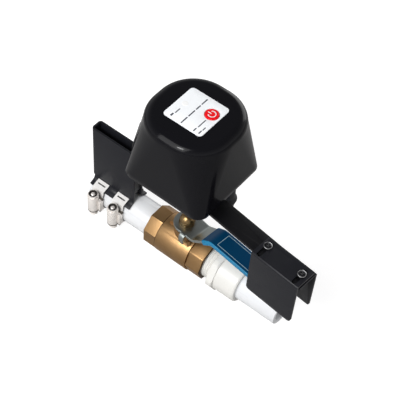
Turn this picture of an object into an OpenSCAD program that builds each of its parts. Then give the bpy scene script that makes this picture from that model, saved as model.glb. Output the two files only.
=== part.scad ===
// Motorised shut-off drive clamped over a quarter-turn brass ball valve on a plastic water pipe.
// Millimetres. The origin is the centre of the outlet pipe's end face, X runs along the pipe
// in the direction of flow, Z is up and the drive sits above the valve's stem.

/* [Pipe] */
// Outside diameter of the plastic pipe
pipe_od = 25; // [22:0.5:26]
// Wall thickness of the pipe
pipe_wall = 3.5; // [2.5:0.25:4]
// Inlet pipe standing out of the brass valve
inlet_len = 57; // [54:1:120]
// Outlet pipe standing out of the adaptor
outlet_len = 34; // [20:1:80]

/* [Brass valve] */
// Length over both octagons
valve_len = 53.2; // [51.2:0.5:60.2]
// Distance from the stem to the inlet end
inlet_reach = 28.25; // [27.25:0.25:31]
// Octagons across flats
octagon_af = 30; // [29:0.5:36]
// Length of the octagon at the inlet
inlet_oct_len = 10.75; // [8:0.25:12]
// Length of the screwed-in octagon at the outlet
outlet_oct_len = 13.2; // [12:0.2:14.2]
// Turn of the outlet octagon about the pipe, as it was screwed home
outlet_oct_turn = 22.5; // [0:2.5:45]
// Diameter of the round body between the octagons
body_d = 32.6; // [32:0.2:38]
// Diameter of the ball
ball_d = 24; // [22:0.25:24.5]
// Bore through the ball and the seats
port_d = 17; // [12:0.5:18]
// Diameter of the stem
stem_d = 8; // [7:0.25:9]
// Diameter of the neck round the stem
neck_d = 18; // [17:0.25:18.5]
// Top of the neck above the pipe's axis
neck_top = 20.5; // [19.5:0.25:21.5]

/* [Lever] */
// Angle of lever and arm from the pipe, seen from above
lever_turn = -7; // [-14:1:0]
// Diameter of the lever's eye
eye_d = 20; // [19:0.5:22]
// Width of the lever where its rise starts
shoulder_w = 18.6; // [16:0.2:19.6]
// Width of the lever under its grip
lever_w = 14.4; // [10:0.2:14.8]
// Thickness of the lever's sheet
lever_t = 2.5; // [2:0.1:3]
// Length from the stem to the lever's end
lever_len = 95; // [80:1:105]
// Distance from the stem to the start of the rise
ramp_start = 14.5; // [13:0.5:18]
// Length of the rise along the lever
ramp_run = 16.5; // [14:0.5:20]
// Height of the rise
ramp_rise = 12.5; // [8:0.5:16]
// Distance from the stem to the grip's mouth
grip_start = 23.5; // [19:0.5:28]
// Thickness of the grip's skin
grip_t = 1; // [0.6:0.1:1.2]
// Length of the stop tab under the lever
tab_drop = 6.4; // [5:0.2:9]

/* [Adaptor] */
// Length of male thread left in sight
thread_show = 6.8; // [3:0.2:9]
// Hexagon of the adaptor across flats
adaptor_af = 33.5; // [32:0.5:36]
// Length of the hexagon
adaptor_hex_len = 6; // [4:0.5:10]
// Diameter of the adaptor's socket
socket_d = 31.8; // [30:0.2:34]
// Length of the adaptor's socket
socket_len = 18; // [14:0.5:24]

/* [Bracket] */
// Length of the folded bracket along the pipe
bracket_len = 41; // [39:0.5:50]
// Clear gap between the bracket's two plates
bracket_gap = 7; // [6:0.25:9]
// Thickness of the bracket's sheet
bracket_wall = 1.5; // [1.2:0.1:2]
// Top of the bracket above the pipe's axis
bracket_top = 66.5; // [62:0.5:74]
// Radius of the bend between plate and foot
foot_bend = 4.5; // [3.5:0.25:5.5]
// Angle that the foot is bent outwards
foot_angle = 67; // [64:1:74]
// Flat length of the foot
foot_len = 3.2; // [2.5:0.1:4.5]

/* [Hose clamps] */
// Width of the clamp bands
band_w = 11; // [9:0.5:12]
// Thickness of the clamp bands
band_t = 0.7; // [0.5:0.05:0.9]
// Distance of the outer clamp from the bracket's closed end
clamp_inset = 11.6; // [10.8:0.1:12.5]
// Distance between the two clamps
clamp_pitch = 19.5; // [18:0.5:22]
// Diameter of the worm screw
worm_d = 6.6; // [6:0.1:7]
// Length of the worm housing
worm_house_len = 16; // [13:0.5:17]

/* [Drive housing] */
// Underside of the housing above the pipe's axis
base_z = 86; // [84:0.5:92]
// Width of the square base
base_w = 68.8; // [67:0.2:74]
// Corner radius of the base
base_r = 8.8; // [7:0.2:12]
// Width at the top before the edge rounds over
top_w = 65.2; // [62:0.2:67]
// Corner radius at the top
top_r = 29; // [26:0.2:30]
// Rounding of the top edge
top_fillet = 7; // [5:0.25:8.5]
// Height of the housing
housing_h = 56; // [55:0.5:64]
// Wall thickness of the housing
wall = 2.5; // [2:0.1:3]
// Thickness of the base plate
plate_t = 3; // [2.5:0.25:4]
// Side of the square label
label_w = 31.3; // [30:0.5:34]
// Diameter of the power button
button_d = 9.8; // [8:0.2:11]
// Travel of the power button
button_travel = 0.6; // [0.3:0.05:0.7]

/* [Gears] */
// Module of the gear pair
gear_m = 0.8; // [0.75:0.01:0.85]
// Teeth of the motor pinion
pinion_teeth = 16; // [14:2:18]
// Teeth of the output gear
gear_teeth = 29; // [27:2:31]
// Face width of the gears
gear_w = 6; // [4:0.5:7]
// Diameter of the output shaft
shaft_d = 10; // [8:0.5:11]
// Diameter of the geared motor
motor_d = 19; // [14:0.5:20]

/* [Arm and fork] */
// Underside of the switching arm above the pipe's axis
arm_z = 66.4; // [64:0.2:70]
// Thickness of the switching arm
arm_t = 2.5; // [2:0.1:3]
// Gap between the jaws
jaw_gap = 17; // [16.8:0.1:20]
// Thickness of the jaw sheet
jaw_t = 1.6; // [1.2:0.1:2]
// Distance from the stem to the near end of the jaws
jaw_start = 69; // [64:0.5:72]
// Length of the jaws along the arm
jaw_len = 40; // [36:0.5:46]
// Lower edge of the jaws above the pipe's axis
jaw_bottom = 29; // [26:0.5:32]
// Corner radius of the front jaw
jaw_r = 3; // [2:0.25:5]
// Corner radius of the rear jaw
rear_jaw_r = 1.5; // [1:0.25:4]
// Distance of the fork screws from the jaws' ends
screw_inset = 4.75; // [4.5:0.25:6]
// Turn of the jaws on their slots, seen from above
jaw_yaw = 2; // [0:0.5:3]
// Slot of each jaw behind its screws
jaw_travel = 3.4; // [2:0.2:5]

/* [Hidden] */
$fn = 64;

// clearances: press joint, running shaft, sliding face, free space
seat = 0.02;
run = 0.05;
slip = 0.3;
free = 0.5;

// pipe and valve
pipe_r = pipe_od / 2;
bore_r = pipe_r - pipe_wall;
thread_len = 12;
end_x = valve_len - inlet_reach;
stem_x = -(outlet_len + socket_len + adaptor_hex_len + thread_show + end_x);
inlet_end = -inlet_reach - inlet_len;
joint_x = end_x - outlet_oct_len;
seam_x = inlet_oct_len - inlet_reach;
seam_w = 0.5;
seam_d = 0.4;
ball_r = ball_d / 2;
cavity_r = ball_r + free;
seat_in = sqrt(ball_r * ball_r - port_d * port_d / 4) - free;
seat_out = ball_r - free;
tail_r = cavity_r + 0.7;
tail_in = 5.5;
stem_r = stem_d / 2;
flat_z = ball_r - 0.7;
pack_r = stem_r + 2.4;
pack_z = neck_top - 5.5;
pack_h = 3.5;
nut_z = neck_top + 2;
lever_z = nut_z + free;
tab_z = max(lever_z - tab_drop, octagon_af / 2 / cos(22.5) + slip, body_d / 2 + slip);
tab_s = 3.5;
tab_w = 4.5;
lug_z = lever_z - 4;
lug_at = [-45, -169];
cap_hex = 4;
cap_r = stem_r + 3.4;

// bracket feet and clamps
plate_y = bracket_gap / 2 + bracket_wall;
bend_y = plate_y + foot_bend;
bend_out = foot_bend + bracket_wall;
bend_z = sqrt(pow(pipe_r + 0.07 + bend_out, 2) - bend_y * bend_y);
bracket_over = 2.5;
bracket_x = inlet_end - bracket_over;
toe_y = bend_y - foot_bend * cos(foot_angle) + foot_len * sin(foot_angle);
toe_z = bend_z - foot_bend * sin(foot_angle) - foot_len * cos(foot_angle);
over_y = toe_y + 0.22;
over_z = toe_z + 0.13;
cross_y = bracket_gap / 2 + 0.5;
cross_z = pipe_r + 0.7;
clamp_x = [bracket_x + clamp_inset, bracket_x + clamp_inset + clamp_pitch];
worm_r = worm_d / 2;
worm_y = -(pipe_r + run + band_t + 0.7 + worm_r);
house_r = worm_r + run + 1;
house_lo = 1.5 - worm_house_len / 2;
house_hi = 1.5 + worm_house_len / 2;
worm_head = 2.2;
tongue_y = bracket_gap / 2 - slip;
lock_x = bracket_x + bracket_len / 2;
lock_z = 36;
thumb_r = 6.5;
thumb_t = 7;
thumb_z = plate_y - tongue_y + 6;

// housing
base_h = base_w / 2;
top_h = top_w / 2;
top_z = base_z + housing_h;
plate_z = base_z + 0.3;
plate_top = plate_z + plate_t;
lean = (base_h - top_h) / (housing_h - top_fillet);
boss_d = 7.2;
boss_top = base_z + 20;
boss_bite = 1.8;
// reach of the inner wall along the diagonal at height z
function corner_in(z) = let (f = (z - base_z + 1) / (housing_h - top_fillet + 1))
    (1 - f) * ((base_h - base_r) * sqrt(2) + base_r) + f * ((top_h - top_r) * sqrt(2) + top_r) - wall;
boss_at = (corner_in(boss_top) + boss_bite - boss_d / 2) / sqrt(2);
plate_h = base_h - wall - free;
plate_r = (plate_h * sqrt(2) - corner_in(plate_top) + slip) / (sqrt(2) - 1);
m3_r = 1.5;
m3_head_r = 2.6;
m3_head = 1.6;
base_screw_len = 10;
tongue_screw_len = 7;
tongue_screw_z = [plate_top + 3.2, plate_top + 10.2];
tongue_top = base_z + 22;
tongue_root = 10.1;
tongue_neck = 2.65;
tongue_drop = 10.6;
post_at = 15;
board_z = top_z - 11;
board_t = 1.6;
board_w = 40;
radio_w = 14;
radio_l = 18;
terminal_l = 7;
button_x = 9.1;
button_y = 4.6;
button_r = button_d / 2;
gland_r = 6;
gland_thread_r = 4.6;
gland_stub = 5;
gland_z = base_z - 40;
gland_taper = 16.5;
rib_pitch = 7;
rib_t = 3;
rib_out = [0.2, 1.8, 0.4];
gland_nut_t = 4;
gland_x = boss_at - 5;
gland_y = boss_at - 9;

// gear train
centre = gear_m * (pinion_teeth + gear_teeth) / 2;
shaft_r = shaft_d / 2;
bush_r = shaft_r + 3;
bush_top = plate_top + 2.7;
gear_z = bush_top + slip;
carrier_z = gear_z + gear_w + free;
carrier_t = 2;
motor_z = carrier_z + carrier_t;
motor_r = motor_d / 2;
gearbox_len = 8;
post_r = 2.5;
post_y = 12.3;
post_a = centre + motor_r - 2;
post_b = sqrt(pow(gear_m * (gear_teeth / 2 + 1) + 3.2, 2) - post_y * post_y);

// arm and fork
arm_w = jaw_gap - 2 * slip;
arm_top = arm_z + arm_t;
hub_r = 11;
hub_top = plate_z - 1.2 - slip;
screw_s = [jaw_start + screw_inset, jaw_start + jaw_len - screw_inset];
bolt_len = 12;
slot_r = m3_r + 0.2;
fork_head_r = 3;
fork_nut_t = 2.4;
fork_nut_af = 5.5;
recess_l = 3.4;
front_z = arm_top + run;
rear_z = arm_z - run - jaw_t;
jaw_out = jaw_gap / 2 + jaw_t;
jaw_in = jaw_gap / 2 - 0.6;
jaw_ease = max(0, jaw_len * sin(jaw_yaw) - slip + run);
slot_reach = jaw_gap / 2 - slot_r + 0.7;

module at_stem() { translate([stem_x, 0, 0]) children(); }
module at_lever() { at_stem() rotate([0, 0, lever_turn]) children(); }
// the gear train lies behind the stem
module at_train() { at_stem() rotate([0, 0, -90]) children(); }
// a jaw stands a little askew on its screws, shifted out by d
module at_jaw(d) {
    at_lever() translate([jaw_start, -d, 0]) rotate([0, 0, jaw_yaw]) translate([-jaw_start, 0, 0]) children();
}
// round bar along X from a to b
module bar_x(r, a, b) { translate([a, 0, 0]) rotate([0, 90, 0]) cylinder(r = r, h = b - a); }
// prism along X with its flats up and down, or turned about X
module prism_x(af, n, a, b, turn = 0) {
    translate([a, 0, 0]) rotate([0, 90, 0]) rotate([0, 0, 180 / n + turn])
        cylinder(r = af / 2 / cos(180 / n), h = b - a, $fn = n);
}
module tube_z(ro, ri, a, b) {
    translate([0, 0, a]) difference() {
        cylinder(r = ro, h = b - a);
        translate([0, 0, -1]) cylinder(r = ri, h = b - a + 2);
    }
}
module disc_z(r, a, b) { translate([0, 0, a]) cylinder(r = r, h = b - a); }
module hex_z(af, a, b) { translate([0, 0, a]) cylinder(r = af / 2 / cos(30), h = b - a, $fn = 6); }
// profile drawn in Y and Z, extruded along X from a to b
module along_x(a, b) { translate([a, 0, 0]) rotate([90, 0, 90]) linear_extrude(b - a) children(); }
// profile drawn in X and Z, extruded along Y from a to b
module along_y(a, b) { translate([0, b, 0]) rotate([90, 0, 0]) linear_extrude(b - a) children(); }
module at_corners(d) {
    for (sx = [-1, 1])
        for (sy = [-1, 1])
            translate([sx * d, sy * d, 0]) children();
}
// square with rounded corners, about its centre
module round_square(h, r) {
    square([2 * h, 2 * (h - r)], center = true);
    square([2 * (h - r), 2 * h], center = true);
    at_corners(h - r) circle(r = r);
}

// extruded plastic pipe, screwed into the brass at one end
module pipe(a, b) {
    difference() {
        bar_x(pipe_r, a, b);
        bar_x(bore_r, a - 1, b + 1);
    }
}
module inlet_stub() {
    color("white") at_stem() pipe(inlet_end, thread_len - inlet_reach - run);
}
module outlet_stub() {
    color("white") pipe(-outlet_len - socket_len + 2 + run, 0);
}

// forged body: inlet octagon, round ball chamber, neck with two stop lugs
module valve_body() {
    color("#b08d3e") at_stem() difference() {
        union() {
            prism_x(octagon_af, 8, -inlet_reach, seam_x);
            bar_x(body_d / 2 - seam_d, seam_x, seam_x + seam_w);
            bar_x(body_d / 2, seam_x + seam_w, joint_x);
            disc_z(neck_d / 2, ball_r, neck_top);
            for (a = lug_at) rotate([0, 0, a]) translate([stem_r + 4, -0.9, ball_r])
                cube([neck_d / 2 + 0.5 - stem_r, 1.8, lug_z - ball_r]);
        }
        bar_x(pipe_r + run, -inlet_reach - 1, thread_len - inlet_reach);
        bar_x(port_d / 2, -inlet_reach, 0);
        bar_x(cavity_r, -seat_out - run, tail_in + run);
        bar_x(tail_r + run, tail_in, joint_x + 1);
        disc_z(stem_r + run, 0, neck_top + 1);
        disc_z(pack_r + run, pack_z, neck_top + 1);
    }
}

// octagon that screws into the body and traps the ball
module valve_end() {
    color("#b08d3e") at_stem() difference() {
        union() {
            prism_x(octagon_af, 8, joint_x + seat, end_x, outlet_oct_turn);
            bar_x(tail_r, tail_in + 2 * run, joint_x + seat);
        }
        bar_x(port_d / 2, 0, valve_len);
        bar_x(cavity_r, 0, seat_out + run);
        bar_x(pipe_r + 0.4 + run, end_x - thread_len, valve_len);
    }
}

// two sealing rings that hold the ball
module ball_seats() {
    color("#f2f2ee") at_stem() for (s = [0, 180])
        rotate([0, 0, s]) difference() {
            bar_x(cavity_r - run, seat_in, seat_out);
            bar_x(port_d / 2, 0, ball_d);
            translate([seat_in, 0, 0]) rotate([0, 90, 0])
                cylinder(r1 = port_d / 2 + 1, r2 = port_d / 2, h = 1);
        }
}

// bored ball with a slot for the stem's tang
module ball() {
    color("#d9dbde") at_lever() difference() {
        sphere(r = ball_r);
        bar_x(port_d / 2, -ball_d, ball_d);
        translate([-ball_r, -ball_r, flat_z]) cube([ball_d, ball_d, ball_r]);
        translate([-ball_r, -2.1, flat_z - 2.2]) cube([ball_d, 4.2, ball_r]);
    }
}

// stem with its tang below and a collar that carries the lever
module stem() {
    color("#b08d3e") at_lever() {
        translate([-4.4, -2, flat_z - 2.1]) cube([8.8, 4, 2.2]);
        disc_z(stem_r, flat_z + 0.1, lever_z + lever_t + 5);
        disc_z(stem_r + 1.2, nut_z + 0.2, lever_z);
    }
}

module stem_packing() {
    color("#f2f2ee") at_stem() tube_z(pack_r, stem_r + run, pack_z, pack_z + pack_h);
}

// hexagon gland that screws down on the packing
module gland_nut() {
    color("#b08d3e") at_stem() difference() {
        union() {
            disc_z(pack_r, pack_z + pack_h, neck_top);
            hex_z(neck_d - 3, neck_top, nut_z);
        }
        disc_z(stem_r + run, 0, nut_z + 1);
    }
}

// side view of the bent lever, grown by g all round
module lever_side(g) {
    k = tan(atan2(ramp_rise, ramp_run) / 2);
    lo = lever_z - g;
    hi = lever_z + lever_t + g;
    tip = lever_len + g;
    polygon([[-eye_d, lo], [ramp_start + g * k, lo], [ramp_start + ramp_run + g * k, lo + ramp_rise],
        [tip, lo + ramp_rise], [tip, hi + ramp_rise],
        [ramp_start + ramp_run - (lever_t + g) * k, hi + ramp_rise],
        [ramp_start - (lever_t + g) * k, hi], [-eye_d, hi]]);
}
// outline of the lever from above, grown by g
module lever_plan(g) {
    h = lever_w / 2 + g;
    e = eye_d / 2 + g;
    w = shoulder_w / 2 + g;
    grip_in = ramp_start + ramp_run - 1;
    tip = lever_len + g - h;
    round_end = [for (a = [-90 : 15 : 90]) [tip + h * cos(a), h * sin(a)]];
    circle(r = e);
    polygon(concat([[0, -e], [ramp_start, -w], [grip_in, -h]], round_end,
        [[grip_in, h], [ramp_start, w], [0, e]]));
}
module lever_strip(g) {
    intersection() {
        along_y(-eye_d, eye_d) lever_side(g);
        linear_extrude(lever_z + ramp_rise + 20) lever_plan(g);
    }
}

// zinc-plated lever: eye on the stem, bent-up handle, a stop tab folded down
module lever() {
    tab_y = neck_d / 2 + 0.7;
    color("#8d938a") at_lever() difference() {
        union() {
            lever_strip(0);
            translate([tab_s, -tab_y - lever_t, lever_z]) cube([tab_w, lever_t + 3, lever_t]);
            translate([tab_s, -tab_y - lever_t, tab_z]) cube([tab_w, lever_t, lever_z - tab_z + 1]);
        }
        disc_z(stem_r + seat, 0, lever_z + 2 * lever_t);
    }
}

// dipped vinyl sleeve on the handle
module lever_grip() {
    color("#0a6ea8") at_lever() difference() {
        intersection() {
            lever_strip(grip_t);
            translate([grip_start, -eye_d, 0]) cube([lever_len, 2 * eye_d, lever_z + ramp_rise + 20]);
        }
        lever_strip(seat);
    }
}

// domed cap nut that holds the lever down
module lever_nut() {
    z = lever_z + lever_t + seat;
    color("#c9a24a") at_lever() difference() {
        union() {
            hex_z(stem_d + 5, z, z + cap_hex);
            intersection() {
                translate([0, 0, z]) sphere(r = cap_r);
                disc_z(cap_r - 0.2, z + cap_hex - 0.5, z + 2 * cap_r);
            }
        }
        disc_z(stem_r + seat, 0, z + 5.2);
    }
}

// moulded adaptor: male thread into the brass, hexagon, solvent socket
module adaptor() {
    hex_a = end_x + thread_show;
    hex_b = hex_a + adaptor_hex_len;
    end = hex_b + socket_len;
    color("#f3f0e4") at_stem() difference() {
        union() {
            bar_x(pipe_r + 0.4, end_x - thread_len + 1, hex_a);
            prism_x(adaptor_af, 6, hex_a, hex_b);
            translate([hex_b, 0, 0]) rotate([0, 90, 0]) rotate_extrude()
                polygon([[0, -1], [socket_d / 2, -1], [socket_d / 2, socket_len - 1],
                    [socket_d / 2 - 0.8, socket_len], [0, socket_len]]);
        }
        bar_x(bore_r - 0.6, 0, end);
        bar_x(pipe_r + run, hex_b + 2, end + 1);
    }
}

// section of one bent plate edge: the bend and the flat of the foot
module foot_section() {
    translate([-bend_y, bend_z]) {
        intersection() {
            difference() {
                circle(r = bend_out);
                circle(r = foot_bend);
            }
            polygon([[0, 0], [2 * bend_out, 0], [2 * bend_out * cos(foot_angle / 2),
                -2 * bend_out * sin(foot_angle / 2)],
                [2 * bend_out * cos(foot_angle), -2 * bend_out * sin(foot_angle)]]);
        }
        rotate(-foot_angle) translate([foot_bend, -foot_len]) square([bracket_wall, foot_len]);
    }
}
// inside line of a clamp band in Y and Z, pushed outwards by g
function band_line(g) =
    let (r = pipe_r + run, q = norm([over_y, over_z]),
        a = atan2(over_z, over_y) - acos(r / q), n = 36, s = (180 + 2 * a) / n)
    concat([for (i = [0 : n]) (r + g) / cos(s / 2) * [cos(a - i * s), sin(a - i * s)]],
        [[-over_y - 0.9 * g, over_z + 0.75 * g], [-cross_y - 0.2 * g, cross_z + g],
        [cross_y + 0.2 * g, cross_z + g], [over_y + 0.9 * g, over_z + 0.75 * g]]);

// folded sheet bracket: narrow U standing on the pipe, feet bent out, slots for the bands
module bracket() {
    r_out = bracket_wall + 1;
    end = bracket_x + bracket_len;
    color("#26282b") at_stem() difference() {
        union() {
            translate([0, 0, bend_z]) linear_extrude(bracket_top - bend_z) difference() {
                union() {
                    translate([bracket_x + r_out, -plate_y]) square([bracket_len - r_out, 2 * plate_y]);
                    translate([bracket_x, -plate_y + r_out])
                        square([bracket_len, 2 * (plate_y - r_out)]);
                    for (s = [-1, 1])
                        translate([bracket_x + r_out, s * (plate_y - r_out)]) circle(r = r_out);
                }
                translate([bracket_x + bracket_wall, -bracket_gap / 2])
                    square([bracket_len, bracket_gap]);
            }
            for (s = [0, 1]) mirror([0, s, 0]) along_x(bracket_x + r_out, end) foot_section();
        }
        for (x = clamp_x) along_x(x - band_w / 2 - slip, x + band_w / 2 + slip)
            intersection() {
                difference() {
                    polygon(band_line(band_t + 0.9));
                    polygon(band_line(-0.03));
                }
                translate([-pipe_od, toe_z - 0.5]) square([2 * pipe_od, pipe_od]);
            }
        translate([lock_x, 0, lock_z]) rotate([-90, 0, 0]) cylinder(r = 3 + run, h = pipe_od);
    }
}

// perforated worm-drive bands round the pipe and over the feet
module clamp_bands() {
    color("#d3d0c8") at_stem() for (x = clamp_x)
        along_x(x - band_w / 2, x + band_w / 2) difference() {
            polygon(band_line(band_t));
            polygon(band_line(0));
        }
}

// pressed saddles on the bands, each holding a worm
module clamp_housings() {
    color("#d3d0c8") at_stem() for (x = clamp_x) difference() {
        union() {
            translate([x, worm_y, house_lo]) cylinder(r = house_r, h = worm_house_len);
            translate([x - band_w / 2 - 0.8, worm_y + 0.5, house_lo])
                cube([band_w + 1.6, -worm_y - 0.5 - pipe_r / 2, worm_house_len - 4]);
        }
        along_x(x - band_w, x + band_w) polygon(band_line(band_t + seat));
        translate([x, worm_y, -worm_house_len]) cylinder(r = worm_r + run, h = 2 * worm_house_len);
    }
}

// worm screw with a slotted hexagon head on top
module worm_screw(x) {
    color("#d3d0c8") at_stem() translate([x, worm_y, 0]) difference() {
        union() {
            disc_z(worm_r, house_lo - 3.5, house_hi + 0.5);
            hex_z(worm_d + 0.8, house_hi + 0.1, house_hi + worm_head);
        }
        translate([-worm_d, -0.6, house_hi + worm_head - 1.2]) cube([2 * worm_d, 1.2, 3]);
    }
}
module clamp_screw_outer() { worm_screw(clamp_x[0]); }
module clamp_screw_inner() { worm_screw(clamp_x[1]); }

// nut welded to the back plate for the height lock
module lock_nut() {
    color("#26282b") at_stem() translate([lock_x, plate_y, lock_z]) rotate([-90, 0, 0]) difference() {
        hex_z(10, 0, 5);
        disc_z(3 + run, -1, 6);
    }
}
// knurled thumb screw that pinches the tongue
module lock_screw() {
    color("#d3d0c8") at_stem() translate([lock_x, tongue_y + 0.1, lock_z]) rotate([-90, 0, 0]) {
        disc_z(3, 0, thumb_z + 1);
        difference() {
            disc_z(thumb_r, thumb_z, thumb_z + thumb_t);
            for (a = [0 : 20 : 340]) rotate([0, 0, a])
                translate([thumb_r + 0.2, 0, thumb_z - 1]) cylinder(r = 0.6, h = thumb_t + 2, $fn = 24);
        }
    }
}

// outside of the housing, inset by g: square base, near-round top, rounded top edge
module dome(g) {
    rf = top_fillet - g;
    zf = top_z - top_fillet;
    hull() {
        translate([0, 0, base_z - (g > 0 ? 1 : 0)])
            at_corners(base_h - base_r) cylinder(r = base_r - g, h = 0.3, $fn = 32);
        for (a = [0 : 18 : 90])
            translate([0, 0, zf + rf * sin(a) - 0.3])
                at_corners(top_h - top_r) cylinder(r = top_r - g - rf * (1 - cos(a)), h = 0.3, $fn = 32);
    }
}
// thin-walled cover with screw bosses below and board posts under the top
module housing() {
    color("#17181a") at_stem() difference() {
        union() {
            difference() {
                dome(0);
                dome(wall);
            }
            at_corners(boss_at) disc_z(boss_d / 2, plate_top, boss_top);
            at_corners(post_at) disc_z(2.8, board_z + board_t, top_z - wall / 2);
        }
        at_corners(boss_at) disc_z(m3_r + seat, plate_top - 1, plate_top + base_screw_len + 1);
        at_corners(post_at) disc_z(1.25 + seat, board_z, board_z + board_t + 5);
        translate([button_x, button_y, 0]) disc_z(button_r + slip, top_z - wall - 1, top_z + 1);
        for (z = tongue_screw_z) translate([0, 0, z]) bar_x(m3_r + 0.1, -base_w, -base_h / 2);
    }
}

// flat plate that closes the housing from below
module base_plate() {
    color("#1d1e20") at_stem() translate([0, 0, plate_z]) linear_extrude(plate_t) difference() {
        round_square(plate_h, plate_r);
        circle(r = bush_r + seat);
        translate([gland_x, gland_y]) circle(r = gland_thread_r + run);
        at_corners(boss_at) circle(r = m3_r + 0.2);
    }
}
module base_screws() {
    color("#3a3b3d") at_stem() at_corners(boss_at) {
        disc_z(m3_head_r, plate_z - m3_head, plate_z);
        disc_z(m3_r, plate_z - 0.5, plate_top + base_screw_len);
    }
}

function wall_x(z) = -(base_h - (z - base_z) * lean);
// stiff fin on the housing's side that slides down between the bracket's plates
module mount_tongue() {
    gap = 0.1;
    x_in = bracket_x + bracket_len - 0.8;
    x_out = bracket_x + bracket_wall + free;
    z_lo = cross_z + band_t + 8;
    z_hi = bracket_top - 11;
    z_a = base_z + 1.5;
    z_b = tongue_top;
    z_c = tongue_top - 5.5;
    color("#202124") at_stem() difference() {
        along_y(-tongue_y, tongue_y)
            polygon([[wall_x(z_a) - gap, z_a], [wall_x(z_b) - gap, z_b],
                [wall_x(z_c) - tongue_root, z_c], [x_in - tongue_neck, base_z - tongue_drop],
                [x_in - tongue_neck - 1.8, z_hi + 3], [x_in - tongue_neck - 5.8, z_hi],
                [x_out, z_hi], [x_out, z_lo], [x_in, z_lo], [x_in, z_hi + 2],
                [x_in + 3.55, base_z - 8], [wall_x(base_z) - 4.6, base_z - 2]]);
        for (z = tongue_screw_z) translate([0, 0, z])
            bar_x(m3_r + seat, wall_x(z) - tongue_screw_len - 1, 0);
    }
}
module tongue_screws() {
    color("#3a3b3d") at_stem() for (z = tongue_screw_z) translate([0, 0, z]) {
        x = wall_x(z) + wall + 0.25;
        bar_x(m3_r, x - wall - tongue_screw_len, x + 0.5);
        bar_x(m3_head_r, x, x + m3_head);
    }
}

// flanged bearing of the output shaft
module output_bush() {
    color("#a8763a") at_stem() difference() {
        union() {
            disc_z(bush_r, plate_z, bush_top);
            disc_z(bush_r + 2, plate_z - 1.2, plate_z);
        }
        disc_z(shaft_r + run, 0, top_z);
    }
}

// plate on four posts that holds the motor and the top of the shaft
module gear_carrier() {
    color("#c8c8c4") at_train() difference() {
        union() {
            translate([-post_a - post_r - 0.2, -post_y - post_r - 0.2, carrier_z])
                cube([post_a + post_b + 2 * post_r + 0.4, 2 * (post_y + post_r + 0.2), carrier_t]);
            for (x = [-post_a, post_b])
                for (y = [-post_y, post_y])
                    translate([x, y, 0]) disc_z(post_r, plate_top, carrier_z + 0.5);
        }
        disc_z(shaft_r + run, 0, top_z);
        translate([-centre, 0, 0]) disc_z(2.4, 0, top_z);
    }
}

// geared motor standing on the carrier
module gearmotor() {
    color("#9a9c9f") at_train() translate([-centre, 0, 0]) difference() {
        union() {
            disc_z(motor_r, motor_z, motor_z + gearbox_len);
            disc_z(motor_r - 1, motor_z + gearbox_len, board_z - 5);
            disc_z(3, board_z - 5, board_z - 3.5);
        }
        disc_z(2 + run, 0, motor_z + 3);
    }
}

function inv_deg(q) = sqrt(q * q - 1) * 180 / PI - acos(1 / q);
// involute gear blank with z teeth, drawn about its own axis with a tooth on +X
module gear_plan(z) {
    r = gear_m * z / 2;
    rb = r * cos(20);
    ra = r + gear_m;
    rf = r - 1.25 * gear_m;
    r0 = max(rb + 0.001, rf);
    half = 90 / z - 0.05 / r * 180 / PI + inv_deg(r / rb);
    n = 5;
    polygon([for (i = [0 : z - 1]) let (c = i * 360 / z) each concat(
        [rf * [cos(c - half - 0.5), sin(c - half - 0.5)]],
        [for (k = [0 : n]) let (q = r0 + (ra - r0) * k / n, a = c - half + inv_deg(q / rb))
            q * [cos(a), sin(a)]],
        [for (k = [n : -1 : 0]) let (q = r0 + (ra - r0) * k / n, a = c + half - inv_deg(q / rb))
            q * [cos(a), sin(a)]],
        [rf * [cos(c + half + 0.5), sin(c + half + 0.5)]])]);
}
module output_gear() {
    color("#e6e3d6") at_train() translate([0, 0, gear_z]) linear_extrude(gear_w) difference() {
        gear_plan(gear_teeth);
        circle(r = shaft_r + seat);
    }
}
// pinion on the motor's shaft
module motor_pinion() {
    color("#b9bbbd") at_train() translate([-centre, 0, 0]) {
        translate([0, 0, gear_z]) linear_extrude(gear_w) gear_plan(pinion_teeth);
        disc_z(2, gear_z + 1, motor_z + 2.7);
    }
}

// board hung from the cover's posts, with its radio module and terminal block
module control_board() {
    color("#1f5c3a") at_stem() difference() {
        union() {
            translate([-board_w / 2, -board_w / 2, board_z]) cube([board_w, board_w, board_t]);
            translate([-12, -7, board_z + board_t - 0.1]) cube([radio_w, radio_l, 3]);
            translate([-6, -18, board_z + board_t - 0.1]) cube([radio_w, terminal_l, 2.4]);
        }
        at_corners(post_at) disc_z(1.4, board_z - 1, board_z + board_t + 1);
    }
}
module board_screws() {
    color("#9a9c9f") at_stem() at_corners(post_at) {
        disc_z(2.3, board_z - 1.5, board_z);
        disc_z(1.25, board_z - 0.5, board_z + board_t + 4);
    }
}
module tact_switch() {
    z = board_z + board_t;
    color("#2b2b2d") at_stem() translate([button_x, button_y, z]) {
        translate([-3, -3, 0]) cube([6, 6, 2.6]);
        disc_z(1.7, 2.5, 3.5);
    }
}

// printed square label round the button
module label() {
    color("#eef3f6") at_stem() translate([0, 0, top_z + seat]) linear_extrude(0.35) difference() {
        round_square(label_w / 2, 2.6);
        translate([button_x, button_y]) circle(r = button_r + slip);
    }
}
// red push button: cap, captive flange and plunger
module power_button() {
    fl = top_z - wall - 0.2;
    color("#d0021b") at_stem() translate([button_x, button_y, 0]) {
        disc_z(button_r, fl - 1, top_z + 0.8);
        disc_z(button_r + 1.3, fl - 1.2, fl);
        disc_z(2, board_z + board_t + 3.6 + button_travel, fl - 1);
    }
}

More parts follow.
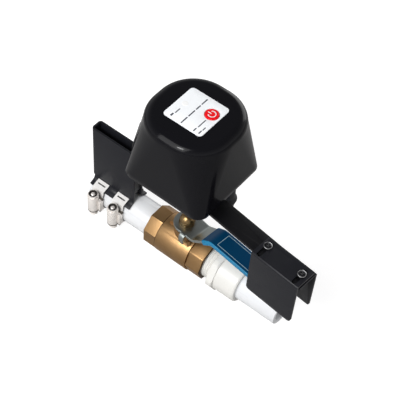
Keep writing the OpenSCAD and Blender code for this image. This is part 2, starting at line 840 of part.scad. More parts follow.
// ribbed cable gland in the base plate, with its locknut inside
module cable_gland() {
    color("#1b1c1e") at_stem() translate([gland_x, gland_y, 0]) difference() {
        union() {
            disc_z(gland_thread_r, plate_z - 1, plate_top + gland_stub);
            disc_z(gland_r + 1.2, plate_z - 7, plate_z);
            disc_z(gland_r - 0.6, gland_z + gland_taper - 0.5, plate_z - 6);
            translate([0, 0, gland_z]) cylinder(r1 = gland_r - 2.2, r2 = gland_r - 0.6, h = gland_taper);
            for (i = [0 : 2]) translate([0, 0, gland_z + 0.5 + i * rib_pitch])
                disc_z(gland_r + rib_out[i], 0, rib_t);
        }
        disc_z(2.6, 0, top_z);
    }
}
module cable_gland_nut() {
    color("#1b1c1e") at_stem() translate([gland_x, gland_y, 0]) difference() {
        hex_z(2 * gland_thread_r + 2.2, plate_top + seat, plate_top + gland_nut_t);
        disc_z(gland_thread_r + run, 0, top_z);
    }
}

// output shaft, tapped below for the arm's bolt
module output_shaft() {
    color("#b9bbbd") at_stem() difference() {
        disc_z(shaft_r, arm_z, carrier_z + carrier_t);
        disc_z(2.5 + seat, 0, arm_z + bolt_len + 2);
    }
}
module arm_hub() {
    color("#26282b") at_lever() tube_z(hub_r, shaft_r + seat, arm_top + seat, hub_top);
}
// flat bar from the shaft to the fork
module switch_arm() {
    tip = jaw_start + jaw_len - 2;
    color("#26282b") at_lever() translate([0, 0, arm_z]) linear_extrude(arm_t) difference() {
        union() {
            circle(r = hub_r + 0.5);
            translate([0, -arm_w / 2]) square([tip - 3, arm_w]);
            translate([0, -arm_w / 2 + 3]) square([tip, arm_w - 6]);
            for (s = [-1, 1]) translate([tip - 3, s * (arm_w / 2 - 3)]) circle(r = 3);
        }
        circle(r = shaft_r + seat);
        for (s = screw_s) translate([s, 0]) circle(r = m3_r + seat);
    }
}
module arm_bolt() {
    color("#b9bbbd") at_lever() {
        disc_z(2.5, arm_z - 3, arm_z + bolt_len);
        disc_z(shaft_r + 2.5, arm_z - 1.4, arm_z - seat);
        hex_z(8, arm_z - 4.9, arm_z - 1.4);
    }
}

// folded jaw: slotted flange on the arm and a cheek beside the lever
module jaw_section(z) {
    r = jaw_t + slip - run;
    translate([-jaw_out + r, z]) square([jaw_out - r + jaw_in, jaw_t]);
    translate([-jaw_out, jaw_bottom]) square([jaw_t, z + jaw_t - r - jaw_bottom]);
    intersection() {
        translate([-jaw_out + r, z + jaw_t - r]) difference() {
            circle(r = r);
            circle(r = r - jaw_t);
        }
        translate([-jaw_out, z + jaw_t - r]) square(r);
    }
}
module jaw(z, r) {
    a = jaw_start;
    b = jaw_start + jaw_len;
    difference() {
        intersection() {
            along_x(a, b) jaw_section(z);
            along_y(-jaw_out - 1, jaw_out + 1) union() {
                translate([a, jaw_bottom + r]) square([jaw_len, z]);
                translate([a + r, jaw_bottom]) square([jaw_len - 2 * r, z]);
                for (x = [a + r, b - r]) translate([x, jaw_bottom + r]) circle(r = r);
            }
        }
        for (s = screw_s) translate([s, 0, z - 1]) linear_extrude(jaw_t + 2) {
            translate([-slot_r, -slot_reach]) square([2 * slot_r, slot_reach + jaw_travel]);
            for (e = [-slot_reach, jaw_travel]) translate([0, e]) circle(r = slot_r);
        }
    }
}
module front_jaw() { color("#26282b") at_jaw(jaw_ease) jaw(front_z, jaw_r); }
module rear_jaw() { color("#26282b") at_jaw(0) mirror([0, 1, 0]) jaw(rear_z, rear_jaw_r); }

// pan-head screws and nuts that pinch both jaws to the arm
module fork_screws() {
    z = front_z + jaw_t + run;
    color("#c4c6c8") at_lever() for (s = screw_s) translate([s, 0, 0]) difference() {
        union() {
            disc_z(m3_r, rear_z - fork_nut_t - 1.8, z + 1);
            disc_z(fork_head_r, z, z + 1.4);
            intersection() {
                disc_z(fork_head_r, z + 1, z + 4);
                translate([0, 0, z - 2 * fork_head_r + 2.2]) sphere(r = 2 * fork_head_r);
            }
        }
        for (a = [45, 135]) rotate([0, 0, a]) translate([-recess_l / 2, -0.4, z + 1.1])
            cube([recess_l, 0.8, 2 * fork_nut_t]);
    }
}
module fork_nuts() {
    z = rear_z - run;
    color("#c4c6c8") at_lever() for (s = screw_s) translate([s, 0, 0]) difference() {
        hex_z(fork_nut_af, z - fork_nut_t, z);
        disc_z(m3_r + seat, 0, z + 1);
    }
}

inlet_stub();
valve_body();
valve_end();
ball_seats();
stem_packing();
gland_nut();
adaptor();
outlet_stub();
bracket();
clamp_bands();
clamp_housings();
clamp_screw_outer();
clamp_screw_inner();
lock_nut();
lock_screw();
housing();
base_plate();
base_screws();
mount_tongue();
tongue_screws();
output_bush();
gear_carrier();
gearmotor();
control_board();
board_screws();
tact_switch();
label();
cable_gland();
cable_gland_nut();
power_button();
output_shaft();
output_gear();
arm_hub();
switch_arm();
arm_bolt();
fork_screws();
fork_nuts();
front_jaw();
rear_jaw();
motor_pinion();
lever();
lever_grip();
lever_nut();
stem();
ball();
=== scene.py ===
import bmesh
import bpy
import numpy as np
from mathutils import Matrix


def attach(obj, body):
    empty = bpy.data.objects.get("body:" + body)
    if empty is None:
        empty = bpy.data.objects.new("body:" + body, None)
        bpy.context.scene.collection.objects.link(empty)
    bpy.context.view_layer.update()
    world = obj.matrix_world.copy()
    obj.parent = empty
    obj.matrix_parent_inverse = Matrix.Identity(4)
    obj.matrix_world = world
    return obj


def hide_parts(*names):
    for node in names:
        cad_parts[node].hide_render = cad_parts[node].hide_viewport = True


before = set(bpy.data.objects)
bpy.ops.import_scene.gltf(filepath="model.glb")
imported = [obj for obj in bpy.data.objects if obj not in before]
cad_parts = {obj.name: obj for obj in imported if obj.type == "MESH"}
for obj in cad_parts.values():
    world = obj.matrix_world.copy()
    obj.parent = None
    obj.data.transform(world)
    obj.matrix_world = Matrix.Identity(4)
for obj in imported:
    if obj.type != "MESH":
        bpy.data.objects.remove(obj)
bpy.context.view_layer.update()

# Plastic pipe: a length of white extruded tube runs in on the left, under the bracket's clamps, and a
# shorter one leaves the adaptor on the right with its sawn end open. The skin is smooth and faintly
# bluish, with long drawing lines from the die.
mm = 0.001
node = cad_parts
sharp_angle, ease_angle = np.radians(32), np.radians(40)
pipe_scatter, pipe_ease = 8.0, 0.4


def finish(name, colour, second, rough, metal=0.0, mottle=60.0, grain=900.0, bump=0.0, stretch=(1, 1, 1)):
    """Surface finish: two colours mixed by a broad mottle, roughness swept between two values by the
    mottle times a fine grain, and a relief from the grain. Scales are per metre of object space."""
    m = bpy.data.materials.new(name)
    m.use_nodes = True
    t = m.node_tree
    shader = t.nodes["Principled BSDF"]
    place = t.nodes.new("ShaderNodeTexCoord")
    turn = t.nodes.new("ShaderNodeMapping")
    turn.inputs["Scale"].default_value = stretch
    t.links.new(place.outputs["Object"], turn.inputs["Vector"])
    broad, fine = t.nodes.new("ShaderNodeTexNoise"), t.nodes.new("ShaderNodeTexNoise")
    for noise, scale, detail in ((broad, mottle, 4), (fine, grain, 3)):
        noise.inputs["Scale"].default_value = scale
        noise.inputs["Detail"].default_value = detail
        t.links.new(turn.outputs["Vector"], noise.inputs["Vector"])
    tint = t.nodes.new("ShaderNodeMix")
    tint.name = "tint"
    tint.data_type = "RGBA"
    tint.inputs["A"].default_value = (*colour, 1)
    tint.inputs["B"].default_value = (*second, 1)
    t.links.new(broad.outputs["Fac"], tint.inputs["Factor"])
    t.links.new(tint.outputs["Result"], shader.inputs["Base Color"])
    both = t.nodes.new("ShaderNodeMath")
    both.operation = "MULTIPLY"
    t.links.new(broad.outputs["Fac"], both.inputs[0])
    t.links.new(fine.outputs["Fac"], both.inputs[1])
    sweep = t.nodes.new("ShaderNodeMapRange")
    ends = {"From Min": 0.12, "From Max": 0.4, "To Min": rough[0], "To Max": rough[1]}
    for socket, value in ends.items():
        sweep.inputs[socket].default_value = value
    t.links.new(both.outputs["Value"], sweep.inputs["Value"])
    t.links.new(sweep.outputs["Result"], shader.inputs["Roughness"])
    shader.inputs["Metallic"].default_value = metal
    if bump:
        relief = t.nodes.new("ShaderNodeBump")
        relief.inputs["Distance"].default_value = bump * mm
        t.links.new(fine.outputs["Fac"], relief.inputs["Height"])
        t.links.new(relief.outputs["Normal"], shader.inputs["Normal"])
    return m


def shader_of(material):
    """Shader node of a finish, for the sockets that only a few finishes set."""
    return material.node_tree.nodes["Principled BSDF"]


def soft_shading():
    """Modifier tree: every face is shaded smooth and every edge past the sharp angle stays sharp."""
    g = bpy.data.node_groups.new("soft_shading", "GeometryNodeTree")
    g.interface.new_socket("Geometry", in_out="INPUT", socket_type="NodeSocketGeometry")
    g.interface.new_socket("Geometry", in_out="OUTPUT", socket_type="NodeSocketGeometry")
    start, end = g.nodes.new("NodeGroupInput"), g.nodes.new("NodeGroupOutput")
    faces = g.nodes.new("GeometryNodeSetShadeSmooth")
    edges = g.nodes.new("GeometryNodeSetShadeSmooth")
    edges.domain = "EDGE"
    edges.inputs["Shade Smooth"].default_value = False
    angle = g.nodes.new("GeometryNodeInputMeshEdgeAngle")
    sharp = g.nodes.new("FunctionNodeCompare")
    sharp.operation = "GREATER_THAN"
    sharp.inputs["B"].default_value = sharp_angle
    g.links.new(angle.outputs["Unsigned Angle"], sharp.inputs["A"])
    g.links.new(sharp.outputs["Result"], edges.inputs["Selection"])
    g.links.new(start.outputs[0], faces.inputs["Geometry"])
    g.links.new(faces.outputs[0], edges.inputs["Geometry"])
    g.links.new(edges.outputs[0], end.inputs[0])
    return g


shading = soft_shading()


def dress(names, material, ease=0.0):
    """A node keeps its shape: it takes the finish, its edges are eased by a small bevel, and its
    curved faces are shaded smooth."""
    for n in names:
        o = node[n]
        o.data.materials.clear()
        o.data.materials.append(material)
        o.modifiers.new("weld", "WELD").merge_threshold = 1e-6
        if ease:
            b = o.modifiers.new("ease", "BEVEL")
            b.width = ease * mm
            b.segments = 2
            b.limit_method = "ANGLE"
            b.angle_limit = ease_angle
        o.modifiers.new("shade", "NODES").node_group = shading


pipe_white = finish("pipe_white", (0.77, 0.78, 0.79), (0.755, 0.765, 0.78), (0.22, 0.42), mottle=30,
                    grain=500, bump=0.03, stretch=(0.06, 1, 1))
shader_of(pipe_white).inputs["Subsurface Weight"].default_value = 0.5
shader_of(pipe_white).inputs["Subsurface Radius"].default_value = [pipe_scatter * mm] * 3
dress(["inlet_stub", "outlet_stub"], pipe_white, pipe_ease)

# Brass valve: a forged body with an octagon at the inlet and a round ball chamber, closed by a second
# octagon that screws in from the outlet side. The skin is a tumbled golden brown with a fine forging
# grain, with painted shade in the seam and at the mouth. Inside are the plated ball and its seat rings.
seam_x, seam_half, mouth_x, mouth_half = -107.0, 0.34, -64.8, 0.6
body_ease, octagon_ease = 0.35, 0.7


def sums(tree, operation, *values):
    """Math node whose inputs are sockets or plain numbers."""
    n = tree.nodes.new("ShaderNodeMath")
    n.operation = operation
    for i, v in enumerate(values):
        if isinstance(v, (int, float)):
            n.inputs[i].default_value = v
        else:
            tree.links.new(v, n.inputs[i])
    return n.outputs["Value"]


def place_on(tree):
    """Sockets of a point's own X, Y and Z on the piece."""
    split = tree.nodes.new("ShaderNodeSeparateXYZ")
    tree.links.new(tree.nodes["Texture Coordinate"].outputs["Object"], split.inputs["Vector"])
    return split.outputs["X"], split.outputs["Y"], split.outputs["Z"]


def stain(material, mask, colour):
    """The finish's own colour gives way to another as the mask goes from 0 to 1."""
    t = material.node_tree
    over = t.nodes.new("ShaderNodeMix")
    over.data_type = "RGBA"
    over.inputs["B"].default_value = (*colour, 1)
    t.links.new(mask, over.inputs["Factor"])
    t.links.new(t.nodes["tint"].outputs["Result"], over.inputs["A"])
    t.links.new(over.outputs["Result"], shader_of(material).inputs["Base Color"])


brass = finish("forged_brass", (0.44, 0.27, 0.125), (0.29, 0.17, 0.076), (0.36, 0.5), metal=1.0, mottle=120,
               grain=1500, bump=0.06)
bt = brass.node_tree
brass_x = place_on(bt)[0]
# Painted shade: a dark band in the seam and round the mouth's rim stands for the shadow in them.
in_seam = sums(bt, "COMPARE", brass_x, seam_x * mm, seam_half * mm)
at_mouth = sums(bt, "COMPARE", brass_x, mouth_x * mm, mouth_half * mm)
stain(brass, sums(bt, "MAXIMUM", in_seam, at_mouth), (0.07, 0.04, 0.018))
dress(["valve_body", "gland_nut", "stem"], brass, body_ease)
dress(["valve_end"], brass, octagon_ease)
seal_white = finish("seal_white", (0.84, 0.84, 0.82), (0.78, 0.78, 0.76), (0.4, 0.6), grain=700, bump=0.02)
dress(["ball_seats", "stem_packing"], seal_white)
ball_plate = finish("ball_plate", (0.78, 0.78, 0.80), (0.70, 0.70, 0.73), (0.05, 0.14), metal=1.0, bump=0.002)
dress(["ball"], ball_plate)

# Lever: a strip of zinc-plated steel with a round eye on the stem, bent up clear of the pipe. A tab is
# folded down beside the eye and stops against one of two lugs on the valve's neck.
stem_x = -89.75
lever_yaw = np.radians(-7)
eye_r, shoulder, lever_half, lever_t, lever_end = 10.0, 9.3, 7.2, 2.5, 95.0
shoulder_at, narrow_at = 14.5, 30.0
lever_mid, rise_from, rise_run, rise, bend_soft = 24.25, 14.1, 16.5, 12.5, 1.2
tab_root, tab_mid, tab_low, tab_along, tab_half, tab_bend = 7.0, 10.95, 16.6, 5.75, 2.25, 1.7
strip_square, tab_square = 12, 9


def skin(name, sheets, body, material, stands_for=()):
    """One mesh from grids of points in millimetres, each rows x ring x 3. Neighbours are joined by
    four-sided faces; every ring closes on itself, and a sheet marked as a loop also joins its last row
    to its first. Points that meet at a pole are merged and the faces are turned outwards."""
    points, quads, used = [], [], 0
    for rows, loop in sheets:
        n, k = rows.shape[:2]
        i = np.arange(n if loop else n - 1)[:, None]
        j = np.arange(k)[None, :]
        over, next_row = (j + 1) % k, (i + 1) % n
        faces = np.stack([i * k + j, i * k + over, next_row * k + over, next_row * k + j], -1)
        quads.append(faces.reshape(-1, 4) + used)
        points.append(rows.reshape(-1, 3) * mm)
        used += n * k
    mesh = bpy.data.meshes.new(name)
    mesh.from_pydata(np.concatenate(points).tolist(), [], np.concatenate(quads).tolist())
    b = bmesh.new()
    b.from_mesh(mesh)
    bmesh.ops.remove_doubles(b, verts=b.verts, dist=1e-7)
    bmesh.ops.recalc_face_normals(b, faces=b.faces)
    b.to_mesh(mesh)
    b.free()
    mesh.polygons.foreach_set("use_smooth", np.ones(len(mesh.polygons), dtype=bool))
    mesh.set_sharp_from_angle(angle=sharp_angle)
    mesh.materials.append(material)
    o = bpy.data.objects.new(name, mesh)
    bpy.context.scene.collection.objects.link(o)
    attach(o, body)
    if stands_for:
        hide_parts(*stands_for)
    return o


def with_the_lever(p):
    """Points given along the lever, across it and up are turned to its rest angle about the stem."""
    c, s = np.cos(lever_yaw), np.sin(lever_yaw)
    return np.stack([stem_x + c * p[..., 0] - s * p[..., 1], s * p[..., 0] + c * p[..., 1], p[..., 2]], -1)


def squared_ring(count, power):
    """Oval of unit half width and height whose corners grow squarer with the power."""
    a = np.linspace(0, 2 * np.pi, count, endpoint=False)
    c, s = np.cos(a), np.sin(a)
    return np.sign(c) * np.abs(c) ** (2 / power), np.sign(s) * np.abs(s) ** (2 / power)


def lever_line(s):
    """Height of the strip's middle along the lever, with two bends softened as hyperbolas, and the
    angle of its slope."""
    a, b = s - rise_from, s - rise_from - rise_run
    ra, rb = np.sqrt(a * a + bend_soft), np.sqrt(b * b + bend_soft)
    grade = rise / rise_run
    return lever_mid + grade * 0.5 * (a + ra - b - rb), np.arctan(grade * 0.5 * (a / ra - b / rb))


def bent_strip(s, half, thick, power):
    """Squared oval carried along the lever's line, with a half width and a half thickness for each
    station."""
    z, tilt = lever_line(s)
    across, up = squared_ring(72, power)
    lift = thick[:, None] * up[None, :]
    along = s[:, None] - lift * np.sin(tilt)[:, None]
    height = z[:, None] + lift * np.cos(tilt)[:, None]
    return with_the_lever(np.stack([along, half[:, None] * across[None, :], height], -1))


def lever_outline(s, grow):
    """Half width along the lever: the eye's circle, a taper in two steps and the round end."""
    h = lever_half + grow
    eye = np.sqrt(np.clip((eye_r + grow) ** 2 - s * s, 0, None))
    taper = np.interp(s, [0, shoulder_at, narrow_at], [eye_r + grow, shoulder + grow, h])
    past = s - lever_end - grow + h
    end = np.sqrt(np.clip(h * h - past ** 2, 0, None))
    return np.where(s < 0, eye, np.where(past > 0, end, taper))


def stop_tab():
    """Squared oval carried out from the eye, round a quarter bend and down to the tab's end, where it
    is eased a little and closed."""
    t = np.linspace(0, np.pi / 2, 9)
    y = np.concatenate([[tab_root] * 2, tab_mid - tab_bend + tab_bend * np.sin(t), [tab_mid] * 3])
    z = np.concatenate([[lever_mid] * 2, lever_mid - tab_bend + tab_bend * np.cos(t),
                        [tab_low + 0.3, tab_low, tab_low]])
    face = np.concatenate([[np.pi / 2] * 2, np.pi / 2 - t, [0] * 3])[:, None]
    size = np.concatenate([[0], np.ones(len(t) + 2), [0.93, 0]])[:, None]
    wide, deep = squared_ring(40, tab_square)
    deep = size * deep * lever_t / 2
    along = tab_along + size * wide * tab_half
    yy = y[:, None] + deep * np.cos(face)
    return with_the_lever(np.stack([along, -yy, z[:, None] + deep * np.sin(face)], -1))


zinc = finish("zinc_plate", (0.42, 0.45, 0.43), (0.30, 0.325, 0.31), (0.26, 0.44), metal=1.0, mottle=90,
              grain=1800, bump=0.02)
quarter = np.linspace(0, np.pi / 2, 25)
lever_s = np.concatenate([-eye_r * np.cos(quarter), np.linspace(0.4, lever_end - lever_half, 90),
                          lever_end - lever_half * (1 - np.sin(quarter[1:]))])
lever_rows = bent_strip(lever_s, lever_outline(lever_s, 0), np.full(len(lever_s), lever_t / 2), strip_square)
skin("lever_strip", [(lever_rows, False), (stop_tab(), False)], "handle", zinc, ["lever"])

# Grip: a sleeve of soft blue vinyl dipped over the lever's handle, round at its edges, with a rolled
# lip at its mouth across the rise of the lever. Its upward faces are painted a dark navy as shade on
# its top, and carry a thin pale printed border.
mouth, sleeve_t, lip, blunt_run, slack, sleeve_square = 23.5, 1.0, 0.8, 1.6, 0.03, 7
rule_off, rule_half, rule_from = 5.7, 0.2, 35.2
top_shade_half, top_shade_rise = 7.6, 0.6
vinyl = finish("blue_vinyl", (0.0005, 0.19, 0.37), (0.0005, 0.16, 0.32), (0.18, 0.28), mottle=70, grain=800,
               bump=0.008)
# Painted shade: a darker navy copy of the blue for the top, which also carries the printed border.
navy_shade_and_print = finish("top_shade_and_print", (0.0003, 0.030, 0.080), (0.0003, 0.040, 0.10), (0.28, 0.4), mottle=40, grain=800,
              bump=0.008)
roll = np.linspace(np.pi / 2, 0, 6)
sleeve_end, sleeve_half = lever_end + sleeve_t, lever_half + sleeve_t
out_s = np.concatenate([mouth + lip * (1 - np.sin(roll)), np.linspace(mouth + 2, sleeve_end - 9, 60),
                        sleeve_end - sleeve_half * (1 - np.sin(quarter[1:]))])
thin = np.zeros(len(out_s))
thin[:len(roll)] = lip * (1 - np.cos(roll))
blunt = np.sqrt(1 - np.clip((out_s - sleeve_end + blunt_run) / blunt_run, 0, 1) ** 2)
out_thick = (lever_t / 2 + sleeve_t - thin) * blunt
out_rows = bent_strip(out_s, lever_outline(out_s, sleeve_t) - thin, out_thick, sleeve_square)
inner_end = lever_end + slack
in_s = np.concatenate([[inner_end], inner_end - lever_half * (1 - np.sin(quarter[::-1])),
                       np.linspace(lever_end - lever_half - 1, mouth, 50)])
in_half, in_thick = lever_outline(in_s, slack), np.full(len(in_s), lever_t / 2 + slack)
in_half[0] = in_thick[0] = 0
in_rows = bent_strip(in_s, in_half, in_thick, strip_square)
sleeve = skin("grip_sleeve", [(np.concatenate([in_rows, out_rows]), False)], "handle", vinyl, ["lever_grip"])

shader_of(navy_shade_and_print).inputs["Specular IOR Level"].default_value = 0.12
nt = navy_shade_and_print.node_tree
lever_frame = nt.nodes.new("ShaderNodeMapping")
lever_frame.vector_type = "TEXTURE"
lever_frame.inputs["Location"].default_value = (stem_x * mm, 0, 0)
lever_frame.inputs["Rotation"].default_value = (0, 0, lever_yaw)
nt.links.new(nt.nodes["Texture Coordinate"].outputs["Object"], lever_frame.inputs["Vector"])
lever_axes = nt.nodes.new("ShaderNodeSeparateXYZ")
nt.links.new(lever_frame.outputs["Vector"], lever_axes.inputs["Vector"])
along_lever = lever_axes.outputs["X"]
from_line = sums(nt, "ABSOLUTE", lever_axes.outputs["Y"])
side_rule = sums(nt, "MULTIPLY", sums(nt, "COMPARE", from_line, rule_off * mm, rule_half * mm),
                 sums(nt, "GREATER_THAN", along_lever, rule_from * mm))
end_rule_x = rule_from + rule_half
end_rule = sums(nt, "MULTIPLY", sums(nt, "COMPARE", along_lever, end_rule_x * mm, rule_half * mm),
                sums(nt, "LESS_THAN", from_line, (rule_off + rule_half) * mm))
stain(navy_shade_and_print, sums(nt, "MAXIMUM", side_rule, end_rule), (0.30, 0.42, 0.47))
sleeve.data.materials.append(navy_shade_and_print)
# Painted shade: the faces that look up, within the top's width, take the navy copy.
sleeve_faces = sleeve.data.polygons
normals, centres = np.empty(len(sleeve_faces) * 3), np.empty(len(sleeve_faces) * 3)
sleeve_faces.foreach_get("normal", normals)
sleeve_faces.foreach_get("center", centres)
off_line = np.cos(lever_yaw) * centres[1::3] - np.sin(lever_yaw) * (centres[0::3] - stem_x * mm)
faces_up_shaded = (normals[2::3] > top_shade_rise) & (np.abs(off_line) < top_shade_half * mm)
sleeve_faces.foreach_set("material_index", faces_up_shaded.astype(np.int32))

# Lever nut: a tall brass cap nut on the stem's thread, turned with a low hexagon and a half round cap.
# Its brass is darker than the valve's and stained in patches.
nut_z, nut_af, nut_ball_r, nut_ball_z = 25.52, 11.4, 5.8, 2.9
nut_brass = finish("nut_brass", (0.36, 0.24, 0.11), (0.15, 0.095, 0.042), (0.26, 0.4), metal=1.0, mottle=200,
                   bump=0.01)


def flats(a, af, n):
    """Radius of a prism with n flats, as a function of the angle from the middle of one flat."""
    step = 2 * np.pi / n
    return af / 2 / np.cos((a + step / 2) % step - step / 2)


def cap_nut():
    """Radius round the stem: the hexagon's flats, cut back by a cone at both ends, then a half ball that
    closes at the top."""
    a = np.linspace(0, 2 * np.pi, 96, endpoint=False)
    z = np.array([0, 0, 0.4, 0.9, 2.6, 2.9, 3.0])
    cone = np.array([0, 5.9, 6.2, 6.4, 6.4, 6.2, nut_ball_r])
    hexagon = np.minimum(flats(a + np.pi / 6, nut_af, 6)[None, :], cone[:, None])
    lift = np.linspace(np.radians(3), np.pi / 2, 20)
    r = np.concatenate([hexagon, np.repeat((nut_ball_r * np.cos(lift))[:, None], len(a), 1)])
    zz = nut_z + np.concatenate([z, nut_ball_z + nut_ball_r * np.sin(lift)])
    return with_the_lever(np.stack([r * np.cos(a), r * np.sin(a), zz[:, None] + 0 * r], -1))


skin("cap_nut", [(cap_nut(), False)], "handle", nut_brass, ["lever_nut"])

# Adaptor: one ivory moulding with a male pipe thread into the brass, a hexagon for the spanner and a
# plain round socket that the outlet pipe is cemented into.
thread_in, hex_in, hex_out, pipe_stop, socket_out = -75.8, -58.0, -52.0, -50.0, -34.0
thread_r, thread_deep, thread_pitch, thread_fade = 12.9, 0.75, 1.8, 2.0
hex_af, socket_r, socket_bore, bore_r = 33.5, 15.9, 12.56, 8.4
ivory = finish("ivory_moulding", (0.755, 0.745, 0.71), (0.735, 0.725, 0.685), (0.25, 0.42), mottle=40,
               grain=700, bump=0.02)


def adaptor_shell():
    """Radius as a function of the place along the pipe and the angle round it: a helix on the thread,
    flats cut by end cones on the hexagon, a round socket, and back through the bore."""
    a = np.linspace(0, 2 * np.pi, 144, endpoint=False)
    x = np.linspace(thread_in, hex_in, 110)
    turn = (x[:, None] / thread_pitch - a[None, :] / (2 * np.pi)) % 1
    depth = thread_deep * np.clip((x - thread_in) / thread_fade, 0.2, 1)
    thread = thread_r - depth[:, None] * np.abs(2 * turn - 1)
    hex_x = np.array([hex_in, hex_in, hex_in + 0.8, hex_out - 0.8, hex_out, hex_out])
    cone = np.array([thread_r, 16.4, 17.6, 18.4, 17.4, 16.0])
    hexagon = np.minimum(flats(a, hex_af, 6)[None, :], cone[:, None])
    socket_x = np.array([hex_out + 0.4, socket_out - 2, socket_out - 1, socket_out - 0.4, socket_out])
    bore_x = np.array([socket_out, socket_out - 0.4, pipe_stop, pipe_stop, thread_in])
    turned_r = np.array([socket_r, socket_r, socket_r - 0.1, socket_r - 0.4, socket_r - 0.9,
                         socket_bore + 0.44, socket_bore, socket_bore, bore_r, bore_r])
    r = np.concatenate([thread, hexagon, np.repeat(turned_r[:, None], len(a), 1)])
    xx = np.concatenate([x, hex_x, socket_x, bore_x])[:, None] + 0 * r
    return np.stack([xx, r * np.sin(a), r * np.cos(a)], -1)


skin("adaptor_moulding", [(adaptor_shell(), True)], "pipework", ivory, ["adaptor"])

# Bracket: one sheet of steel folded to a narrow channel that stands on the inlet pipe, its feet bent
# out over the pipe, powder coated in a satin blue-black with a fine orange-peel skin. The height lock
# is a nut welded to its back plate and a knurled thumb screw.
sheet_ease, plate_ease = 0.25, 0.2
powder = finish("powder_coat", (0.0085, 0.009, 0.012), (0.0115, 0.012, 0.0155), (0.32, 0.46), mottle=90,
                grain=2600, bump=0.03)
shader_of(powder).inputs["Specular IOR Level"].default_value = 0.24
dress(["bracket", "lock_nut"], powder, sheet_ease)


def plated(name):
    """Bright finish of the clamps and the thumb screw, a little warm. A piece that carries its own painted
    shade takes a copy under its own name."""
    return finish(name, (0.93, 0.885, 0.84), (0.87, 0.825, 0.78), (0.24, 0.38), metal=0.4, mottle=110,
                  grain=2000, bump=0.01)


dress(["lock_screw"], plated("bright_stainless"), plate_ease)

# Hose clamps: bright stainless bands with cut slots, a pressed worm housing on each, and a worm screw
# with a hexagon head that is sunk round its middle. Shade is painted dark into the grooves, under the
# lip, in the throat behind the head, into the bands' slots and along the bands' sheared edges.
clamp_x = np.array([-165.9, -146.4])
half_pitch = (clamp_x[1] - clamp_x[0]) / 2
worm_y, worm_low, worm_high = -17.25, -6.5, 9.5
lip_up, lip_back, throat_down, throat_back = 1.2, 1.5, 5.2, 2.6
worm_r, worm_deep, worm_pitch, waist_half, head_af = 3.25, 0.5, 1.7, 0.5, 7.4
groove_r, groove_half, groove_up = 2.5, 0.85, 0.3
waist_down, waist_dark = 0.35, 0.45
pressed = plated("pressed_housing")
lt = pressed.node_tree
house_y, house_z = place_on(lt)[1:]
# Painted shade: under the housing's lip and in the throat behind the head the colour goes dark as if in
# shadow.
at_lip = sums(lt, "MULTIPLY", sums(lt, "LESS_THAN", house_z, (worm_low + lip_up) * mm),
              sums(lt, "LESS_THAN", house_y, (worm_y + lip_back) * mm))
at_throat = sums(lt, "MULTIPLY", sums(lt, "GREATER_THAN", house_z, (worm_high - throat_down) * mm),
                 sums(lt, "GREATER_THAN", house_y, (worm_y + throat_back) * mm))
stain(pressed, sums(lt, "MAXIMUM", at_lip, at_throat), (0.10, 0.085, 0.07))
dress(["clamp_housings"], pressed, plate_ease)


def worm_screw(x):
    """Radius round the worm's own axis: a blunt tip, a helix with a waist where it leaves the housing,
    a hexagon with a rim, a round groove in its top and a blunt cone in the middle."""
    a = np.linspace(0, 2 * np.pi, 72, endpoint=False)
    z = np.linspace(worm_low - 4.4, worm_high, 120)
    turn = (z[:, None] / worm_pitch - a[None, :] / (2 * np.pi)) % 1
    waist = worm_deep * (np.abs(z - worm_low) < waist_half)
    helix = worm_r - worm_deep * np.abs(2 * turn - 1) - waist[:, None]
    tip = np.repeat(np.array([0, 2.3, 2.8])[:, None], len(a), 1)
    head = np.minimum(flats(a, head_af, 6)[None, :], np.array([3.4, 4.0, 4.3, 4.3, 3.9])[:, None])
    middle = np.repeat(np.array([3.1, 2.8, 2.3, 1.9, 1.1, 0])[:, None], len(a), 1)
    r = np.concatenate([tip, helix, head, middle])
    tip_z = worm_low - np.array([5.0, 5.0, 4.5])
    head_z = worm_high + np.array([0.1, 0.1, 0.4, 1.6, 1.9, 1.9, 1.1, 0.9, 1.1, 2.0, 2.2])
    zz = np.concatenate([tip_z, z, head_z])[:, None] + 0 * r
    return np.stack([x + r * np.cos(a), worm_y + r * np.sin(a), zz], -1)


def from_clamp(tree, x):
    """Distance along the pipe from the nearer of the two clamps' middles."""
    return sums(tree, "PINGPONG", sums(tree, "ADD", x, -clamp_x[0] * mm), half_pitch * mm)


worm_plate = plated("worm_plate")
ht = worm_plate.node_tree
screw_x, screw_y, screw_z = place_on(ht)
off_x, off_y = from_clamp(ht, screw_x), sums(ht, "SUBTRACT", screw_y, worm_y * mm)
squares = sums(ht, "ADD", sums(ht, "MULTIPLY", off_x, off_x), sums(ht, "MULTIPLY", off_y, off_y))
off_axis = sums(ht, "SQRT", squares)
# Painted shade: the groove in the head's top and the waist where the worm leaves the housing are darkened as
# if in shadow.
in_groove = sums(ht, "MULTIPLY", sums(ht, "COMPARE", off_axis, groove_r * mm, groove_half * mm),
                 sums(ht, "GREATER_THAN", screw_z, (worm_high + groove_up) * mm))
at_waist = sums(ht, "COMPARE", screw_z, (worm_low - waist_down) * mm, waist_dark * mm)
stain(worm_plate, sums(ht, "MAXIMUM", in_groove, at_waist), (0.05, 0.045, 0.04))
for place, x in zip(("outer", "inner"), clamp_x):
    skin(f"{place}_worm_screw", [(worm_screw(x), False)], f"{place}_worm", worm_plate,
         [f"clamp_screw_{place}"])

band_half, band_t, band_bore = 5.5, 0.7, 12.55
over_foot, across_top = np.array([10.907, 10.694]), np.array([4.0, 13.2])
foot_push, top_push = np.array([0.9, 0.75]), np.array([0.2, 1.0])
slot_half, slot_count, slot_phase, slot_stop = 3.6, 15, 1.309, 2.3
slot_level, slot_wall, slot_sink = 0.86, 0.02, 0.75
edge_in, edge_sink, edge_shade_in = 0.15, 0.2, 0.1


